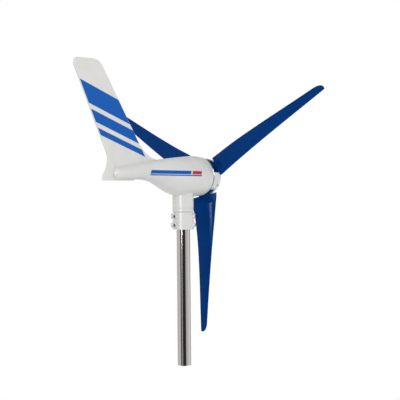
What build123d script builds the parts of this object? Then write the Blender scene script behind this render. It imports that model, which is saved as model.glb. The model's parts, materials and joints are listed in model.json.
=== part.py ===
"""Small three-blade horizontal axis wind turbine on its mast tube.

Millimetres. The origin is the centre of the mast's lower end, +Z runs up the mast (the yaw
axis) and +X runs along the rotor axis towards the wind. Each piece is one named node.
"""
from build123d import *
import math
import os

# Mast and mast head
mast_diameter = 48.3
mast_wall = 3.0
mast_exposed = 484.0
spigot_turning = 0.35
socket_clearance = 0.05
sleeve_height = 62.0
sleeve_diameter = 75.6
sleeve_floor = 8.0
sleeve_boss_diameter = 42.0
sleeve_boss_height = 10.0
sleeve_screw_angles = (116.0, 176.0, 296.0, 356.0)
sleeve_screw_spacing = 31.5
sleeve_screw_size = 8.0
sleeve_screw_head = (11.6, 4.5)
sleeve_screw_sink = 4.2
screw_pad_diameter = 17.0
screw_pad_height = 6.8
screw_pad_rounding = 1.5

# Yaw spindle and its bearings: bore, outside, width
yaw_lower_size = (30.0, 55.0, 13.0)
yaw_upper_size = (25.0, 47.0, 12.0)
yaw_bearing_spacing = 24.0
spindle_foot_diameter = 24.0
spindle_foot_below = 12.0
spindle_shoulder = (36.0, 4.0)
spindle_bore = 16.0
spindle_nut = (34.0, 10.0)
yaw_locknut = (34.0, 8.0)
spindle_top_thread = 10.0

# Yaw ring, a retaining ring between the neck and the sleeve
yaw_gap = 0.8
yaw_ring_height = 13.2
yaw_ring_bore = 46.0
yaw_seal_height = 6.0
yaw_ring_screw_circle = 64.0
yaw_ring_screw_length = 22.0
neck_diameter = 75.6
neck_drop = 115.0

# Slip rings
drum_diameter = 22.0
drum_collar = (29.0, 2.5)
ring_diameter = 27.0
ring_height = 7.0
ring_count = 3
drum_start = 4.0
brush_gap = 0.3
brush_size = (14.0, 7.0, 5.0)
brush_spring = (3.6, 0.7, 1.8)
holder_plate = (59.0, 38.0, 4.0)
holder_width = 16.0
holder_wall = 3.0
holder_depth = 30.0
lead_diameter = 2.8
lead_offset = 3.2
connector = (24.0, 16.0)
connector_stem = 8.0

# Nacelle housing: x, top and bottom from the rotor axis, half width
nacelle_stations = [
    (-290.0, 28.5, -19.0, 23.5),
    (-250.0, 35.5, -17.0, 26.0),
    (-205.0, 43.5, -18.0, 31.0),
    (-160.0, 50.5, -27.0, 38.5),
    (-115.0, 56.0, -45.0, 48.5),
    (-70.0, 61.5, -63.0, 58.5),
    (-25.0, 66.5, -71.5, 67.0),
    (15.0, 70.5, -73.5, 72.0),
]
boom_end = (-326.0, 2.0, 22.0)
nacelle_wall = 4.0
cavity_rear = -225.0
seam_x = 54.5
seam_diameter = 146.0
seam_chamfer = 1.3
yaw_boss_diameter = 60.0
yaw_boss_top = 2.0

# Tail fin
fin_thickness = 5.0
fin_clearance = 0.1
fin_groove = 3.0
fin_slot_end = -250.0
fin_edge_radius = 1.6
fin_screw_places = ((-272.0, 4.0), (-308.0, 2.0))
fin_screw_size = 5.0
fin_screw_head = (8.5, 5.0)
fin_screw_reach = 12.0
fin_screw_depth = 14.0

# Generator
stator_diameter = 124.0
stator_bore = 82.0
stator_back = 9.0
stack_start = 42.0
stack_length = 30.0
tooth_count = 12
tooth_width = 10.0
coil_build = 4.0
coil_overhang = 7.0
air_gap = 0.8
magnet_count = 14
magnet_thickness = 5.5
magnet_arc = 23.0
core_hole = (10.0, 46.0)
shoulder_step = 2.5
rear_plate_x = 24.0
rear_plate_thickness = 6.0
rear_plate_screw_circle = 114.0
rear_ledge = 6.0
lead_hole = (16.0, 92.0)

# Front cover
cover_length = 37.5
cover_front_diameter = 141.0
cover_front_wall = 10.0
cover_edge_radius = 4.0
cover_screw_circle = 129.6
cover_screw_count = 6
cover_screw_sink = 8.0
cover_screw_reach = 8.0
cover_seal = (139.4, 2.0)
small_screw = (4.0, 7.0, 4.0)
shaft_seal_diameter = 38.0
shaft_seal_depth = 4.0
seal_clearance = 0.3

# Shaft and main bearings: bore, outside, width
front_size = (20.0, 47.0, 14.0)
rear_size = (17.0, 35.0, 10.0)
shaft_body_diameter = 24.0
shaft_thread = 16.0
shaft_tail = 4.0
circlip = (21.0, 1.3)
key_size = (5.0, 5.0, 18.0)

# Hub, clamp plate and spinner
hub_gap = 4.0
hub_thickness = 28.0
hub_diameter = 135.0
hub_boss_diameter = 28.0
hub_recess = (34.0, 6.0)
hub_nut = (24.0, 10.0)
washer = (30.0, 3.0)
clamp_thickness = 8.0
spinner_diameter = 134.0
spinner_wall = 3.0
spinner_skirt = 9.0
spinner_dome = 26.0
spinner_seat = 0.2
spinner_screw_length = 12.0

# Blades
rotor_diameter = 1150.0
blade_count = 3
tab_width = 44.0
tab_thickness = 8.0
tab_start = 24.0
tab_clearance = 0.1
root_clear_of_hub = 2.5
aerofoil_offset = 14.0
root_slant = 0.242
root_length = 30.0
root_thickness = 7.0
root_edge_radius = 3.2
blade_screw = (6.0, 10.0, 6.0)
blade_screw_reach = 8.0
blade_screw_places = ((34.0, 0.0), (52.0, 12.0), (52.0, -12.0))
camber = 0.03
trailing_edge = 0.9
# distance in from the tip, leading and trailing offsets, pitch, thickness; the distances
# stretch with the blade so that the first one stays at the root
blade_stations = [
    (491.0, 48.3, 46.6, 22.0, 9.5),
    (455.0, 45.5, 41.2, 17.6, 10.6),
    (405.0, 41.4, 35.0, 12.9, 10.0),
    (355.0, 37.1, 30.7, 9.0, 8.8),
    (300.0, 32.3, 27.2, 6.2, 7.6),
    (240.0, 27.0, 24.7, 4.4, 6.5),
    (175.0, 21.2, 22.6, 3.2, 5.5),
    (110.0, 15.6, 21.0, 2.6, 4.7),
    (50.0, 10.7, 19.6, 2.3, 4.0),
    (30.0, 8.9, 19.1, 2.2, 3.8),
    (15.0, 5.3, 18.7, 2.2, 3.5),
    (6.0, 0.0, 18.3, 2.2, 3.2),
    (1.5, -5.5, 18.0, 2.2, 2.8),
    (0.0, -9.5, 17.8, 2.2, 2.4),
]

# Places worked out from the sizes above
mast_radius = mast_diameter / 2
spigot_radius = mast_radius - spigot_turning
sleeve_top = mast_exposed + sleeve_height
socket_top = sleeve_top - sleeve_floor
boss_top = sleeve_top + sleeve_boss_height
yaw_ring_bottom = sleeve_top + yaw_gap
neck_bottom = yaw_ring_bottom + yaw_ring_height
hub_height = neck_bottom + neck_drop
yaw_lower_top = neck_bottom + yaw_lower_size[2]
yaw_upper_bottom = yaw_lower_top + yaw_bearing_spacing
yaw_upper_top = yaw_upper_bottom + yaw_upper_size[2]
yaw_boss_level = yaw_upper_top + yaw_boss_top
spindle_top = yaw_upper_top + spindle_top_thread
drum_bottom = spindle_top
drum_pitch = ring_height + drum_collar[1]
drum_height = ring_count * drum_pitch + drum_collar[1] + drum_start
brush_face = ring_diameter / 2 + brush_gap
holder_front = drum_collar[0] / 2 + 1.0
cover_front = seam_x + cover_length
cover_inner_wall = cover_front - cover_front_wall
stack_end = stack_start + stack_length
front_bearing_end = cover_front - shaft_seal_depth
front_bearing_start = front_bearing_end - front_size[2]
rear_bearing_start = rear_plate_x + 1.0
rear_bearing_end = rear_bearing_start + rear_size[2]
hub_rear = cover_front + hub_gap
hub_front = hub_rear + hub_thickness
hub_web_front = hub_front - hub_recess[1]
blade_plane = hub_front - tab_thickness / 2
clamp_front = hub_front + clamp_thickness
magnet_radius = stator_bore / 2 - air_gap
core_radius = magnet_radius - magnet_thickness
blade_angles = [270.0 + number * 360.0 / blade_count for number in range(blade_count)]
root_start = hub_diameter / 2 + root_clear_of_hub
aerofoil_start = root_start + aerofoil_offset


def mast_ring(low, high, outer, inner=0.0):
    """A ring or disc about the yaw axis, by diameters."""
    section = Circle(outer / 2)
    if inner > 0:
        section -= Circle(inner / 2)
    return extrude(Pos(0, 0, low) * section, high - low)


def rotor_plane(x):
    return Plane(origin=(x, 0, hub_height), x_dir=(0, 1, 0), z_dir=(1, 0, 0))


def rotor_ring(rear, front, outer, inner=0.0):
    """A ring or disc about the rotor axis, by diameters."""
    section = Circle(outer / 2)
    if inner > 0:
        section -= Circle(inner / 2)
    return extrude(rotor_plane(rear) * section, front - rear)


def rotor_place(x, angle, radius):
    """A frame on the rotor axis: local +X is radial at the angle, local +Z is the world's +X."""
    turned = Location(rotor_plane(x)) * Rotation(0, 0, angle)
    return turned * Pos(radius, 0, 0)


def mast_place(z, angle, radius):
    """A frame about the mast whose local +Z points outward at the angle."""
    return Pos(0, 0, z) * Rotation(0, 0, angle) * Pos(radius, 0, 0) * Rotation(0, 90, 0)


def hex_prism(across, height, bore):
    section = RegularPolygon(across / 2, 6, major_radius=False) - Circle(bore / 2)
    return extrude(section, height)


def cap_screw(size, head_diameter, head_height, length):
    """Socket head cap screw along -Z, its head's seat at the origin."""
    head = Pos(0, 0, head_height / 2) * Cylinder(head_diameter / 2, head_height)
    shank = Pos(0, 0, -length / 2) * Cylinder(size / 2, length)
    socket = extrude(RegularPolygon(size * 0.42, 6, major_radius=False), head_height * 0.6)
    return head + shank - Pos(0, 0, head_height * 0.4) * socket


def bearing(size, ball_count):
    """Inner ring, outer ring and caged balls of a ball bearing, standing on z = 0 about Z."""
    bore, outside, width = size
    section = (outside - bore) / 2
    pitch_radius = (outside + bore) / 4
    ball_radius = 0.29 * section
    race = 0.28 * section
    middle = Pos(0, 0, width / 2)
    groove = middle * Torus(pitch_radius, ball_radius + 0.08)
    inner = mast_ring(0, width, bore + 2 * race, bore) - groove
    outer = mast_ring(0, width, outside, outside - 2 * race) - groove
    cage_half = 0.62 * ball_radius
    balls = mast_ring(width / 2 - cage_half, width / 2 + cage_half,
                      2 * pitch_radius + 2.0, 2 * pitch_radius - 2.0)
    for number in range(ball_count):
        turn = Rotation(0, 0, number * 360.0 / ball_count)
        balls += middle * turn * Pos(pitch_radius, 0, 0) * Sphere(ball_radius)
    return inner, outer, balls


# ---------------------------------------------------------------- mast and mast head

def make_mast_tube():
    tube = mast_ring(0, socket_top - 1.0, mast_diameter, mast_diameter - 2 * mast_wall)
    turned_off = mast_ring(mast_exposed, socket_top, mast_diameter + 2, 2 * spigot_radius)
    return tube - turned_off


def sleeve_screw_frames():
    """Frames on the faces of the screw pads, local +Z outward."""
    middle = mast_exposed + sleeve_height / 2
    pad_face = sleeve_diameter / 2 + screw_pad_height
    frames = []
    for row in (-0.5, 0.5):
        for angle in sleeve_screw_angles:
            frames.append(mast_place(middle + row * sleeve_screw_spacing, angle, pad_face))
    return frames


def make_mast_sleeve():
    sleeve = mast_ring(mast_exposed, sleeve_top, sleeve_diameter)
    sleeve = chamfer(sleeve.edges().group_by(Axis.Z)[-1], seam_chamfer)
    sleeve = fillet(sleeve.edges().group_by(Axis.Z)[0], 1.5)
    pad_depth = screw_pad_height + mast_wall
    for frame in sleeve_screw_frames():
        pad = Pos(0, 0, -pad_depth / 2) * Cylinder(screw_pad_diameter / 2, pad_depth)
        sleeve += frame * fillet(pad.edges().group_by(Axis.Z)[-1], screw_pad_rounding)
    sleeve += mast_ring(sleeve_top, boss_top, sleeve_boss_diameter)
    socket = mast_ring(mast_exposed - 1, socket_top, 2 * (spigot_radius + socket_clearance))
    sleeve -= socket
    sleeve -= mast_ring(socket_top, boss_top, spindle_foot_diameter)
    reach = screw_length()
    for frame in sleeve_screw_frames():
        sleeve -= frame * Pos(0, 0, -reach / 2) * Cylinder(sleeve_screw_size / 2, reach)
        sink = Cylinder(sleeve_screw_head[0] / 2 + 0.1, 2 * sleeve_screw_sink)
        sleeve -= frame * sink
    return sleeve


def screw_length():
    """From the pad's face to the mast tube's turned end."""
    pad_face = sleeve_diameter / 2 + screw_pad_height
    return pad_face - spigot_radius - socket_clearance


def make_sleeve_screws():
    head_diameter, head_height = sleeve_screw_head
    length = screw_length() - sleeve_screw_sink
    screw = Pos(0, 0, -sleeve_screw_sink) * cap_screw(
        sleeve_screw_size, head_diameter, head_height, length)
    return [frame * screw for frame in sleeve_screw_frames()]


def make_yaw_spindle():
    foot = socket_top - spindle_foot_below
    spindle = mast_ring(foot, boss_top, spindle_foot_diameter)
    spindle += mast_ring(boss_top, neck_bottom, spindle_shoulder[0])
    spindle += mast_ring(neck_bottom, yaw_upper_bottom, yaw_lower_size[0])
    spindle += mast_ring(yaw_upper_bottom, spindle_top, yaw_upper_size[0])
    return spindle - mast_ring(foot, spindle_top, spindle_bore)


def make_spindle_nut():
    across, height = spindle_nut
    return Pos(0, 0, socket_top - height) * hex_prism(across, height, spindle_foot_diameter)


def make_yaw_locknut():
    outer, height = yaw_locknut
    nut = mast_ring(yaw_upper_top, yaw_upper_top + height, outer, yaw_upper_size[0])
    for angle in range(0, 360, 90):
        notch = Rotation(0, 0, angle) * Pos(outer / 2, 0, yaw_upper_top + height / 2)
        nut -= notch * Box(3.0, 5.0, height)
    return nut


def collar_level(number):
    """Lower face of a collar of the drum."""
    return drum_bottom + drum_start + number * drum_pitch


def make_slip_ring_drum():
    drum = mast_ring(drum_bottom, drum_bottom + drum_height, drum_diameter)
    drum += mast_ring(drum_bottom, drum_bottom + drum_start, yaw_upper_size[0])
    drum += mast_ring(drum_bottom - spindle_top_thread, drum_bottom, spindle_bore)
    for number in range(ring_count + 1):
        low = collar_level(number)
        drum += mast_ring(low, low + drum_collar[1], drum_collar[0])
    return drum


def make_slip_rings():
    rings = []
    for number in range(ring_count):
        low = collar_level(number) + drum_collar[1]
        rings.append(mast_ring(low, low + ring_height, ring_diameter, drum_diameter))
    return rings


def make_drum_leads():
    low = socket_top - spindle_foot_below + connector_stem
    high = drum_bottom - spindle_top_thread
    lead = Pos(lead_offset, 0, (low + high) / 2) * Cylinder(lead_diameter / 2, high - low)
    return [Rotation(0, 0, 120 * number) * lead for number in range(ring_count)]


def make_lead_connector():
    foot = socket_top - spindle_foot_below
    body = mast_ring(foot - connector[1], foot, connector[0])
    body += mast_ring(foot, foot + connector_stem, spindle_bore)
    for number in range(ring_count):
        place = Rotation(0, 0, 120 * number) * Pos(lead_offset + 3, 0, foot - connector[1])
        body -= place * Cylinder(2.0, 16.0)
    return body


# ---------------------------------------------------------------- nacelle

def nacelle_sections(inset, rear_limit, front_limit):
    """Ellipses across the nacelle, each the same distance inside its outer face."""
    seam = (seam_x, seam_diameter / 2, -seam_diameter / 2, seam_diameter / 2)
    sections = []
    for x, top, bottom, half_width in nacelle_stations + [seam]:
        if rear_limit <= x <= front_limit:
            half_height = (top - bottom) / 2 - inset
            centre = Pos(0, (top + bottom) / 2)
            outline = centre * Ellipse(half_width - inset, half_height)
            sections.append(rotor_plane(x) * outline)
    return sections


def make_nacelle_outer():
    end_x, end_rise, end_radius = boom_end
    end_circle = rotor_plane(end_x) * Pos(0, end_rise) * Circle(end_radius)
    body = loft([end_circle] + nacelle_sections(0.0, end_x, seam_x))
    body += Pos(end_x, 0, hub_height + end_rise) * Sphere(end_radius)
    return body


def fin_root_line():
    """Points just under the nacelle's ridge, where the fin's foot lies in its groove."""
    points = []
    for x, top, bottom, half_width in nacelle_stations:
        if fin_slot_end <= x <= -120.0 and top > 0:
            points.append((x, top - fin_groove))
    return points


def make_fin_face():
    """Outline of the fin in the plane of the yaw and rotor axes, from the rotor axis."""
    root = fin_root_line()
    front_tip = (-131.0, 52.5)
    outline = [
        Line((fin_slot_end, -20.5), root[0]),
        Spline(*root[:-1], front_tip),
        Spline(front_tip, (-171.0, 60.5), (-199.5, 78.0), (-224.0, 101.0), (-243.0, 130.0),
               tangents=[(-1.0, 0.1), (-0.45, 0.89)]),
        Line((-243.0, 130.0), (-388.0, 340.0)),
        Spline((-388.0, 340.0), (-405.0, 354.5), (-430.0, 359.5),
               tangents=[(-0.57, 0.82), (-1.0, 0.08)]),
        Line((-430.0, 359.5), (-490.0, 355.0)),
        Spline((-490.0, 355.0), (-506.0, 346.0), (-508.0, 330.0),
               tangents=[(-1.0, -0.08), (0.45, -0.89)]),
        Line((-508.0, 330.0), (-386.0, 88.0)),
        Spline((-386.0, 88.0), (-371.0, 50.0), (-383.0, 8.0), (-393.0, -12.0),
               tangents=[(0.45, -0.89), (-0.3, -0.95)]),
        Spline((-393.0, -12.0), (-393.5, -19.0), (-387.0, -22.0),
               tangents=[(-0.3, -0.95), (1.0, 0.02)]),
        Line((-387.0, -22.0), (fin_slot_end, -20.5)),
    ]
    return make_face(Wire(outline))


def make_fin_blank(thickness):
    face = Plane(origin=(0, 0, hub_height), x_dir=(1, 0, 0), z_dir=(0, -1, 0)) * make_fin_face()
    return extrude(face, thickness / 2, both=True)


def fin_screw_frames():
    """Frames at the head seats of the fin screws, local +Z towards +Y."""
    seat = fin_thickness / 2 + fin_screw_depth
    return [Pos(x, seat, hub_height + rise) * Rotation(-90, 0, 0) for x, rise in fin_screw_places]


def fin_screw_length():
    return fin_thickness + fin_screw_depth + fin_screw_reach


def make_tail_fin():
    fin = make_fin_blank(fin_thickness)
    long_edges = [edge for edge in fin.edges() if abs(edge.center().Y) > fin_thickness / 2 - 0.01
                  and edge.center().X < fin_slot_end - 1]
    fin = fillet(long_edges, fin_edge_radius)
    for frame in fin_screw_frames():
        length = fin_screw_length()
        fin -= frame * Pos(0, 0, -length / 2) * Cylinder(fin_screw_size / 2 + 0.2, length)
    return fin


def make_fin_screws():
    head_diameter, head_height = fin_screw_head
    screw = cap_screw(fin_screw_size, head_diameter, head_height, fin_screw_length())
    return [frame * screw for frame in fin_screw_frames()]


def make_neck():
    neck_top = hub_height - seam_diameter / 4
    neck = mast_ring(neck_bottom, neck_top, neck_diameter)
    return chamfer(neck.edges().group_by(Axis.Z)[0], seam_chamfer)


def make_nacelle_housing():
    body = make_nacelle_outer() + make_neck()
    seam_edge = body.edges().group_by(Axis.X)[-1]
    body = chamfer(seam_edge, seam_chamfer)
    ledge_rear = rear_plate_x - rear_ledge
    cavity = loft(nacelle_sections(nacelle_wall, cavity_rear, 20.0))
    cavity += rotor_ring(14.0, ledge_rear, seam_diameter - 2 * nacelle_wall - 6.0)
    boss = mast_ring(neck_bottom, yaw_boss_level, yaw_boss_diameter)
    body -= cavity - boss
    seat = stator_diameter - 2 * shoulder_step
    body -= rotor_ring(ledge_rear - 5, rear_plate_x, rear_plate_screw_circle - 8)
    body -= rotor_ring(rear_plate_x, stack_start, seat)
    body -= rotor_ring(stack_start, seam_x + 1, stator_diameter)
    body -= mast_ring(yaw_boss_level, hub_height, holder_plate[0] + 2)
    body -= mast_ring(neck_bottom, yaw_lower_top, yaw_lower_size[1])
    body -= mast_ring(yaw_lower_top, yaw_upper_bottom, yaw_upper_size[1] - 6)
    body -= mast_ring(yaw_upper_bottom, yaw_boss_level, yaw_upper_size[1])
    body -= make_fin_blank(fin_thickness + 2 * fin_clearance)
    body -= housing_holes()
    return body


def housing_holes():
    """Threaded and clearance holes of the screws that go into the housing."""
    holes = []
    for frame in fin_screw_frames():
        length = fin_screw_length()
        holes.append(frame * Pos(0, 0, -length / 2) * Cylinder(fin_screw_size / 2, length))
        holes.append(frame * Pos(0, 0, 10) * Cylinder(fin_screw_head[0] / 2 + 0.2, 20))
    size = small_screw[0]
    for place in yaw_ring_screw_places():
        holes.append(place * Pos(0, 0, -yaw_ring_screw_length / 2) * Cylinder(
            size / 2, yaw_ring_screw_length))
    for place in rear_plate_screw_places():
        length = rear_plate_thickness + rear_ledge
        holes.append(place * Pos(0, 0, -length / 2) * Cylinder(size / 2, length))
    for place in cover_screw_places():
        holes.append(place * Pos(0, 0, -cover_screw_length() / 2) * Cylinder(
            size / 2, cover_screw_length()))
    for place in holder_screw_places():
        holes.append(place * Pos(0, 0, -6) * Cylinder(1.5, 12))
    return Compound(holes)


def yaw_ring_screw_places():
    """Frames at the seats of the yaw ring's screws, local -Z up into the neck."""
    seat = yaw_ring_bottom + small_screw[2] + 0.5
    return [Rotation(0, 0, angle) * Pos(yaw_ring_screw_circle / 2, 0, seat) * Rotation(180, 0, 0)
            for angle in range(45, 405, 90)]


def make_yaw_ring():
    ring = mast_ring(yaw_ring_bottom, neck_bottom, neck_diameter, yaw_ring_bore)
    outside = ring.edges().filter_by(GeomType.CIRCLE).group_by(SortBy.RADIUS)[-1]
    ring = chamfer(outside, seam_chamfer)
    seal_seat = yaw_seal_seat()
    ring -= mast_ring(seal_seat[0], seal_seat[1], seal_seat[2])
    for place in yaw_ring_screw_places():
        ring -= place * Pos(0, 0, -10) * Cylinder(small_screw[0] / 2 + 0.1, 20)
        ring -= place * Pos(0, 0, 5) * Cylinder(small_screw[1] / 2 + 0.2, 10)
    return ring


def yaw_seal_seat():
    """Low level, high level and diameter of the seal's seat in the yaw ring."""
    low = yaw_ring_bottom + 2.4
    return low, low + yaw_seal_height, yaw_ring_bore + 4.0


def make_yaw_ring_screws():
    length = yaw_ring_screw_length - 1
    screw = cap_screw(small_screw[0], small_screw[1], small_screw[2], length)
    return [place * screw for place in yaw_ring_screw_places()]


def make_yaw_seal():
    low, high, outer = yaw_seal_seat()
    return mast_ring(low, high, outer, sleeve_boss_diameter + 2 * seal_clearance)


def rear_plate_screw_places():
    front = rear_plate_x + rear_plate_thickness
    return [rotor_place(front, angle, rear_plate_screw_circle / 2) for angle in (30, 150, 210, 330)]


def make_rear_bearing_plate():
    front = rear_plate_x + rear_plate_thickness
    clearance = 0.5
    plate = rotor_ring(rear_plate_x, front, stator_diameter - 2 * shoulder_step - clearance)
    plate += rotor_ring(rear_plate_x, rear_bearing_end, rear_size[1] + 10)
    plate -= rotor_ring(rear_bearing_start, rear_bearing_end, rear_size[1])
    plate -= rotor_ring(rear_plate_x, rear_bearing_start, rear_size[1] - 8)
    for angle in range(30, 390, 60):
        hole = rotor_place(rear_plate_x, angle, lead_hole[1] / 2 - 5)
        plate -= hole * Cylinder(lead_hole[0] / 2, 40)
    for place in rear_plate_screw_places():
        plate -= place * Cylinder(small_screw[0] / 2 + 0.1, 40)
    return plate


def make_rear_plate_screws():
    length = rear_plate_thickness + rear_ledge - 1
    screw = cap_screw(small_screw[0], small_screw[1] - 2, small_screw[2], length)
    return [place * screw for place in rear_plate_screw_places()]


def cover_screw_places():
    seat = cover_front - cover_screw_sink
    step = 360.0 / cover_screw_count
    return [rotor_place(seat, number * step, cover_screw_circle / 2)
            for number in range(cover_screw_count)]


def cover_screw_length():
    return cover_front - cover_screw_sink - seam_x + cover_screw_reach


def make_front_cover():
    profile = [
        Line((seam_x, 0), (seam_x, seam_diameter / 2)),
        Spline((seam_x, seam_diameter / 2), (cover_front, cover_front_diameter / 2),
               tangents=[(1.0, 0.0), (1.0, -0.12)]),
        Line((cover_front, cover_front_diameter / 2), (cover_front, 0)),
        Line((cover_front, 0), (seam_x, 0)),
    ]
    frame = Plane(origin=(0, 0, hub_height), x_dir=(1, 0, 0), z_dir=(0, -1, 0))
    axis = Axis((0, 0, hub_height), (1, 0, 0))
    cover = revolve(frame * make_face(Wire(profile)), axis)
    cover = fillet(cover.edges().group_by(Axis.X)[-1], cover_edge_radius)
    cover = chamfer(cover.edges().group_by(Axis.X)[0], seam_chamfer)
    chamber = stator_diameter - 2 * shoulder_step
    boss = rotor_ring(front_bearing_start, cover_inner_wall, front_size[1] + 14)
    cover -= rotor_ring(seam_x, stack_end, stator_diameter)
    cover -= rotor_ring(stack_end, cover_inner_wall, chamber) - boss
    cover -= rotor_ring(front_bearing_start, front_bearing_end, front_size[1])
    cover -= rotor_ring(front_bearing_end, cover_front, shaft_seal_diameter)
    seal_circle, seal_section = cover_seal
    cover -= rotor_ring(seam_x, seam_x + seal_section * 0.8,
                        seal_circle + seal_section, seal_circle - seal_section)
    for place in cover_screw_places():
        cover -= place * Cylinder(small_screw[0] / 2 + 0.1, 2 * cover_screw_length())
        cover -= place * Pos(0, 0, 10) * Cylinder(small_screw[1] / 2 + 0.1, 20)
    return cover


def make_front_cover_screws():
    length = cover_screw_length() - 1
    screw = cap_screw(small_screw[0], small_screw[1], small_screw[2], length)
    return [place * screw for place in cover_screw_places()]


def make_cover_seal():
    seal_circle, seal_section = cover_seal
    frame = Location(rotor_plane(seam_x + seal_section * 0.4))
    return frame * Torus(seal_circle / 2, seal_section * 0.4)


def make_shaft_seal():
    inner = hub_boss_diameter + 2 * seal_clearance
    return rotor_ring(front_bearing_end + 0.3, cover_front - 0.4, shaft_seal_diameter, inner)


# ---------------------------------------------------------------- generator

def make_stator_core():
    core = rotor_ring(stack_start, stack_end, stator_diameter, stator_diameter - 2 * stator_back)
    tooth_length = stator_diameter / 2 - stator_back - stator_bore / 2 + 2
    for number in range(tooth_count):
        angle = number * 360.0 / tooth_count
        middle = stator_bore / 2 + tooth_length / 2 - 1
        place = rotor_place((stack_start + stack_end) / 2, angle, middle)
        core += place * Box(tooth_length, tooth_width, stack_length)
        shoe = rotor_place((stack_start + stack_end) / 2, angle, stator_bore / 2 + 0.5)
        core += shoe * Box(3.0, tooth_width + 6, stack_length)
    return core - rotor_ring(stack_start, stack_end, stator_bore)


def make_stator_coils():
    low = stator_bore / 2 + 2.5
    width = tooth_width + 2 * coil_build
    high = math.sqrt((stator_diameter / 2 - stator_back) ** 2 - (width / 2) ** 2) - 0.2
    length = stack_length + 2 * coil_overhang
    middle = (stack_start + stack_end) / 2
    coils = []
    for number in range(tooth_count):
        place = rotor_place(middle, number * 360.0 / tooth_count, (low + high) / 2)
        coil = Box(high - low, width, length)
        coil = fillet(coil.edges().filter_by(Axis.X), coil_build * 0.8)
        coil -= Box(high - low, tooth_width + 0.2, stack_length + 0.2)
        coils.append(place * coil)
    return coils


def make_rotor_core():
    core = rotor_ring(stack_start, stack_end, 2 * core_radius, shaft_body_diameter)
    diameter, circle = core_hole
    for angle in range(0, 360, 60):
        core -= rotor_place(stack_start, angle, circle / 2) * Cylinder(diameter / 2, 200)
    return core


def make_magnets():
    ring = Circle(magnet_radius) - Circle(core_radius)
    reach = 2 * magnet_radius
    half = math.radians(magnet_arc / 2)
    corner = (reach * math.cos(half), reach * math.sin(half))
    wedge = make_face(Polyline((0, 0), (corner[0], -corner[1]), corner, close=True))
    segment = extrude(ring & wedge, stack_length)
    frame = Location(rotor_plane(stack_start))
    step = 360.0 / magnet_count
    return [frame * Rotation(0, 0, number * step) * segment for number in range(magnet_count)]


# ---------------------------------------------------------------- brush gear

def holder_screw_places():
    circle = (yaw_boss_diameter + yaw_upper_size[1]) / 4
    top = yaw_boss_level + holder_plate[2]
    return [Rotation(0, 0, angle) * Pos(circle, 0, top) for angle in (60, 180, 300)]


def brush_levels():
    return [collar_level(number) + drum_collar[1] + ring_height / 2
            for number in range(ring_count)]


def make_brush_holder():
    outer, inner, thickness = holder_plate
    plate_top = yaw_boss_level + thickness
    holder = mast_ring(yaw_boss_level, plate_top, outer, inner)
    post_top = drum_bottom + drum_height
    post_x = -holder_front - holder_depth / 2
    post_height = post_top - yaw_boss_level - thickness / 2
    post = Pos(post_x, 0, post_top - post_height / 2) * Box(holder_depth, holder_width, post_height)
    relief_top = brush_levels()[0] - brush_size[2] / 2 - holder_wall
    relief_height = relief_top - plate_top
    relief_x = -outer / 2 - holder_depth / 2
    relief = Pos(relief_x, 0, plate_top + relief_height / 2)
    post -= relief * Box(holder_depth, holder_width, relief_height)
    post -= mast_ring(yaw_boss_level, relief_top - holder_wall, yaw_locknut[0] + 4)
    holder += post
    for level in brush_levels():
        pocket_length = holder_depth - holder_wall
        pocket = Pos(-holder_front - pocket_length / 2, 0, level)
        holder -= pocket * Box(pocket_length, brush_size[1] + 0.2, brush_size[2] + 0.2)
    for place in holder_screw_places():
        holder -= place * Cylinder(1.6, 30)
        holder -= place * Pos(0, 0, 6) * Cylinder(3.0, 12)
    return holder


def make_holder_screws():
    screw = cap_screw(3.0, 5.5, 3.0, holder_plate[2] + 6)
    return [place * screw for place in holder_screw_places()]


def make_brushes():
    length, width, height = brush_size
    ring_space = mast_ring(drum_bottom, drum_bottom + drum_height, 2 * brush_face)
    brushes = []
    for level in brush_levels():
        block = Pos(-brush_face - length / 2 + 1.2, 0, level) * Box(length, width, height)
        brushes.append(block - ring_space)
    return brushes


def make_brush_springs():
    coil_diameter, wire, pitch = brush_spring
    start = brush_face + brush_size[0] - 1.2 + wire
    end = holder_front + holder_depth - holder_wall - wire
    path = Helix(pitch, end - start, coil_diameter / 2)
    section = Plane(origin=path @ 0, z_dir=path % 0) * Circle(wire / 2)
    spring = sweep(section, path, is_frenet=True)
    return [Pos(-start, 0, level) * Rotation(0, -90, 0) * spring for level in brush_levels()]


def make_stator_leads():
    start_x = stack_start - coil_overhang
    top = hub_height + lead_hole[1] / 2 - 2
    holder_top = drum_bottom + drum_height
    drop_x = -holder_front - holder_depth / 2
    leads = []
    for number in range(ring_count):
        side = (number - 1) * (lead_diameter + 1.4)
        points = [(start_x, side, top), (drop_x, side, top), (drop_x, side, holder_top)]
        path = FilletPolyline(*points, radius=14.0)
        section = Plane(origin=points[0], z_dir=(-1, 0, 0)) * Circle(lead_diameter / 2)
        leads.append(sweep(section, path))
    return leads


# ---------------------------------------------------------------- rotor

def make_rotor_shaft():
    tail = rear_bearing_start - shaft_tail
    thread_start = hub_web_front - 0.5
    end = clamp_front + 3.0
    shaft = rotor_ring(tail, rear_bearing_end, rear_size[0])
    shaft += rotor_ring(rear_bearing_end, front_bearing_start, shaft_body_diameter)
    shaft += rotor_ring(front_bearing_start, thread_start, front_size[0])
    shaft += rotor_ring(thread_start, end, shaft_thread)
    shaft = chamfer(shaft.edges().group_by(Axis.X)[-1], 1.0)
    groove = rotor_ring(rear_bearing_start - circlip[1], rear_bearing_start,
                        circlip[0], rear_size[0] - 1.6)
    return shaft - groove - make_shaft_key()


def make_rear_circlip():
    start = rear_bearing_start - circlip[1]
    clip = rotor_ring(start, rear_bearing_start, circlip[0], rear_size[0] - 1.6)
    slit = Pos(start, 0, hub_height - circlip[0] / 2) * Box(6, 2.5, circlip[0] / 2)
    return clip - slit


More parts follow.
